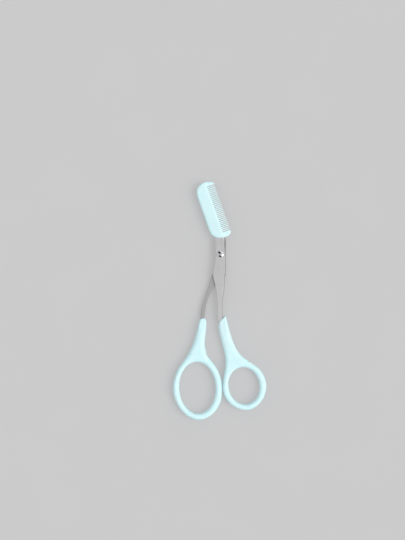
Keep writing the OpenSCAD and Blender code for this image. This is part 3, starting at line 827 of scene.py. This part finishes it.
def steel(name, dark, light, turn, rough, strip=False):
    """Satin stamped steel: fine grain along the piece, cloudy polish, a few scratches, with darker eased edges and
    strips of painted shade.
    """
    m, t, b = new_material(name)
    obj = node(t, "ShaderNodeTexCoord").outputs["Object"]

    def grain(angle, sx, sy, detail):
        mp = node(t, "ShaderNodeMapping")
        mp.inputs["Rotation"].default_value = (0, 0, angle)
        mp.inputs["Scale"].default_value = (sx, sy, sx)
        t.links.new(obj, mp.inputs["Vector"])
        return noise(t, mp.outputs["Vector"], 1.0, detail, 0.6)

    fine = grain(turn, 7000, 140, 4)
    broad = grain(turn, 1500, 60, 2)
    cross = grain(turn + 1.1, 5200, 110, 2)
    clouds = noise(t, obj, 120, 3, 0.5)
    tone = math_node(t, "ADD", math_node(t, "MULTIPLY", fine, 0.65), math_node(t, "MULTIPLY", clouds, 0.35))
    face = ramp(t, tone, [(0.34, dark), (0.66, light)])
    # the eased edges are darker and duller than the rolled faces: the duller finish is the sheared edge's own, the
    # darkening is partly its own tone and partly painted shade
    far = node(t, "ShaderNodeAttribute", attribute_name="from_edge").outputs["Fac"]
    wobble = math_node(t, "ADD", far, spread(t, fine, -0.03, 0.03))
    edge_dark_and_painted_shade = spread(t, wobble, 0.4, 0.0, 0.05, 0.16)
    split = node(t, "ShaderNodeSeparateXYZ")
    t.links.new(obj, split.inputs[0])
    right = node(t, "ShaderNodeAttribute", attribute_name="from_right").outputs["Fac"]
    on_top = spread(t, right, 0.0, 1.0, 0.0, 0.03)
    if strip:
        # painted shade on the strip beside the pivot where the lower half shows past the upper one and lies in the
        # upper half's shadow
        painted_edge_shade = spread(t, split.outputs["X"], 0.0, 0.85, 0.00255, 0.00275)
        along = spread(t, split.outputs["Y"], 0.0, 1.0, 0.0095, 0.0120)
    else:
        # painted shade along the long edge on the thumb's side, up to where the comb sits
        painted_edge_shade = spread(t, math_node(t, "ADD", right, spread(t, broad, -0.06, 0.06)), 0.95, 0.0, 0.2, 0.36)
        painted_edge_shade = math_node(t, "MULTIPLY", painted_edge_shade, on_top)
        along = spread(t, split.outputs["Y"], 1.0, 0.0, 0.0300, 0.0325)
    # the painted shade of both is weakened over the middle of the pivot's length
    bright = ramp(t, spread(t, split.outputs["Y"], 0.0, 1.0, 0.010, 0.034),
                  [(0.05, (1, 1, 1)), (0.22, (0.4, 0.4, 0.4)), (0.5, (0.4, 0.4, 0.4)), (0.85, (1, 1, 1))])
    painted_edge_shade = math_node(t, "MULTIPLY", painted_edge_shade, bright)
    edge_dark_and_painted_shade = math_node(t, "MAXIMUM", edge_dark_and_painted_shade, math_node(t, "MULTIPLY", painted_edge_shade, along))
    if strip:
        # painted shade on the eased edge on the thumb's side, which also makes it duller
        rim = math_node(t, "MULTIPLY", spread(t, right, 0.85, 0.0, 0.12, 0.2), on_top)
        edge_dark_and_painted_shade = math_node(t, "MAXIMUM", edge_dark_and_painted_shade, rim)
    # mix towards a dark grey: the edges' own darker tone, and the painted shade of the strips and edge lines
    shade_edge = node(t, "ShaderNodeMix", data_type="RGBA")
    t.links.new(edge_dark_and_painted_shade, shade_edge.inputs[0])
    t.links.new(face, shade_edge.inputs[6])
    shade_edge.inputs[7].default_value = (0.22, 0.22, 0.225, 1)
    t.links.new(shade_edge.outputs[2], b.inputs["Base Color"])
    r = spread(t, broad, rough - 0.06, rough + 0.06)
    r = math_node(t, "ADD", r, spread(t, fine, -0.05, 0.06))
    r = math_node(t, "SUBTRACT", r, spread(t, cross, 0.0, 0.08, 0.62, 0.75))
    r = math_node(t, "ADD", r, math_node(t, "MULTIPLY", edge_dark_and_painted_shade, 0.12))
    t.links.new(r, b.inputs["Roughness"])
    n1 = bump(t, fine, 0.00001, 0.22)
    n2 = bump(t, cross, 0.000006, 0.12, n1)
    t.links.new(n2, b.inputs["Normal"])
    b.inputs["Metallic"].default_value = 1.0
    return m


def chrome(name):
    """Polished plating, duller and darker down in the slot."""
    m, t, b = new_material(name)
    obj = node(t, "ShaderNodeTexCoord").outputs["Object"]
    split = node(t, "ShaderNodeSeparateXYZ")
    t.links.new(obj, split.inputs[0])
    high = spread(t, split.outputs["Z"], 0.0, 1.0, (HEAD_Z + MATE_Z + RIM_H + DOME_H - SLOT_DEPTH + 0.03) * MM,
                  (HEAD_Z + MATE_Z + RIM_H + DOME_H - SLOT_DEPTH + 0.16) * MM)
    smear = noise(t, obj, 1600, 3, 0.6)
    t.links.new(ramp(t, high, [(0.0, (0.62, 0.62, 0.63)), (1.0, (0.70, 0.70, 0.715))]), b.inputs["Base Color"])
    r = math_node(t, "ADD", spread(t, high, 0.34, 0.07), spread(t, smear, 0.0, 0.08, 0.45, 0.75))
    t.links.new(r, b.inputs["Roughness"])
    t.links.new(bump(t, smear, 0.000004, 0.15), b.inputs["Normal"])
    b.inputs["Metallic"].default_value = 1.0
    return m


grip_plastic = plastic("aqua_grip_plastic", (0.6, 0.851, 0.889), (0.648, 0.873, 0.91), 0.38)
comb_plastic = plastic("aqua_comb_plastic", (0.595, 0.83, 0.865), (0.635, 0.85, 0.88), 0.36)
front_satin = steel("front_satin_steel", (0.605, 0.605, 0.61), (0.68, 0.68, 0.685), 0.0, 0.36)
# the rear half is the same steel as the front; its darker base colour is painted shade for lying lower, below the front
# half
rear_satin_painted_shade = steel("rear_satin_steel_painted_shade", (0.45, 0.45, 0.455), (0.505, 0.505, 0.51), 0.05, 0.38, strip=True)
screw_chrome = chrome("polished_chrome")


# ------------------------------------------------------------------ pieces on their bodies

def fit(ob, body, cad, material):
    ob.data.materials.clear()
    ob.data.materials.append(material)
    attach(ob, body)
    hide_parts(cad)


fit(front_steel, "thumb_half", "front_blade", front_satin)
fit(thumb_grip, "thumb_half", "thumb_handle", grip_plastic)
fit(rear_steel, "finger_half", "rear_blade", rear_satin_painted_shade)
fit(finger_grip, "finger_half", "finger_handle", grip_plastic)
fit(screw, "finger_half", "pivot_screw", screw_chrome)
fit(comb, "comb", "comb", comb_plastic)


# ------------------------------------------------------------------ floor, light, camera

scene = bpy.context.scene
scene.view_settings.view_transform = "Standard"
scene.view_settings.look = "None"
scene.view_settings.exposure = 0.0
scene.view_settings.gamma = 1.0

floor_mesh = bpy.data.meshes.new("floor")
floor_mesh.from_pydata([(-20, -20, -0.00003), (20, -20, -0.00003), (20, 20, -0.00003), (-20, 20, -0.00003)], [],
                       [(0, 1, 2, 3)])
floor = bpy.data.objects.new("floor", floor_mesh)
scene.collection.objects.link(floor)
fm, ft, fb = new_material("floor_pale")
fobj = node(ft, "ShaderNodeTexCoord").outputs["Object"]
ft.links.new(ramp(ft, noise(ft, fobj, 30, 2, 0.5), [(0.3, (0.232, 0.232, 0.234)), (0.7, (0.238, 0.238, 0.24))]),
             fb.inputs["Base Color"])
fb.inputs["Roughness"].default_value = 1.0
fb.inputs["Specular IOR Level"].default_value = 0.0
fb.inputs["Emission Color"].default_value = (1.0, 1.0, 1.01, 1)
fb.inputs["Emission Strength"].default_value = 0.336
floor_mesh.materials.append(fm)


def towards(azimuth, elevation):
    """Unit vector to a place in the sky, azimuth in degrees from +X to +Y."""
    a, e = math.radians(azimuth), math.radians(elevation)
    return Vector((math.cos(a) * math.cos(e), math.sin(a) * math.cos(e), math.sin(e)))


key_data = bpy.data.lights.new("key", "SUN")
key_data.energy = 1.3
key_data.angle = math.radians(40)
key_data.color = (1.0, 0.995, 0.985)
key = bpy.data.objects.new("key", key_data)
scene.collection.objects.link(key)
key.rotation_mode = "QUATERNION"
key.rotation_quaternion = towards(-10, 46).to_track_quat("Z", "Y")

# studio surround: bright overhead, the floor's own tone at the horizon
world = bpy.data.worlds.new("studio")
scene.world = world
world.use_nodes = True
wt = world.node_tree
wt.nodes.clear()
wo = wt.nodes.new("ShaderNodeOutputWorld")
bg = wt.nodes.new("ShaderNodeBackground")
wt.links.new(bg.outputs[0], wo.inputs[0])
wc = node(wt, "ShaderNodeTexCoord").outputs["Generated"]
ws = node(wt, "ShaderNodeSeparateXYZ")
wt.links.new(wc, ws.inputs[0])
sky = ramp(wt, ws.outputs["Z"], [(0.0, (0.605, 0.605, 0.61)), (0.05, (0.63, 0.63, 0.635)), (0.24, (0.98, 0.98, 0.98)),
                                 (0.6, (0.98, 0.98, 0.985)), (1.0, (0.86, 0.86, 0.865))])


def patch(x, y, long, short, turn, value, soft=0.25):
    """Factor that turns to value inside an oval patch of the sky, x and y being the level parts of its direction."""
    c, s = math.cos(math.radians(turn)), math.sin(math.radians(turn))
    off = node(wt, "ShaderNodeVectorMath", operation="SUBTRACT")
    wt.links.new(wc, off.inputs[0])
    off.inputs[1].default_value = (x, y, 0)
    total = 0.0
    for axis in ((c / long, s / long, 0), (-s / short, c / short, 0)):
        dot = node(wt, "ShaderNodeVectorMath", operation="DOT_PRODUCT")
        wt.links.new(off.outputs["Vector"], dot.inputs[0])
        dot.inputs[1].default_value = axis
        total = math_node(wt, "ADD", math_node(wt, "MULTIPLY", dot.outputs["Value"], dot.outputs["Value"]), total)
    return spread(wt, total, value, 1.0, (1 - soft) ** 2, (1 + soft) ** 2)


# two dark flags, and a strip light on the thumb's side
dim = patch(-0.21, 0.37, 0.36, 0.24, -33, 0.0)
dim = math_node(wt, "MULTIPLY", dim, patch(-0.065, -0.49, 0.36, 0.21, -24, 0.04))
dim = math_node(wt, "MULTIPLY", dim, patch(0.50, -0.02, 0.36, 0.12, 90, 2.0))
mix = node(wt, "ShaderNodeVectorMath", operation="SCALE")
wt.links.new(sky, mix.inputs[0])
wt.links.new(dim, mix.inputs["Scale"])
wt.links.new(mix.outputs["Vector"], bg.inputs["Color"])
bg.inputs["Strength"].default_value = 1.0

cam_data = bpy.data.cameras.new("camera")
cam_data.lens = 100
cam_data.sensor_width = 36
cam = bpy.data.objects.new("camera", cam_data)
scene.collection.objects.link(cam)
cam.location = (-8.868 * MM, 16.068 * MM, (780 + 3) * MM)
cam.rotation_euler = (0, 0, 0)
cam_data.clip_start, cam_data.clip_end = 0.01, 50
scene.camera = cam
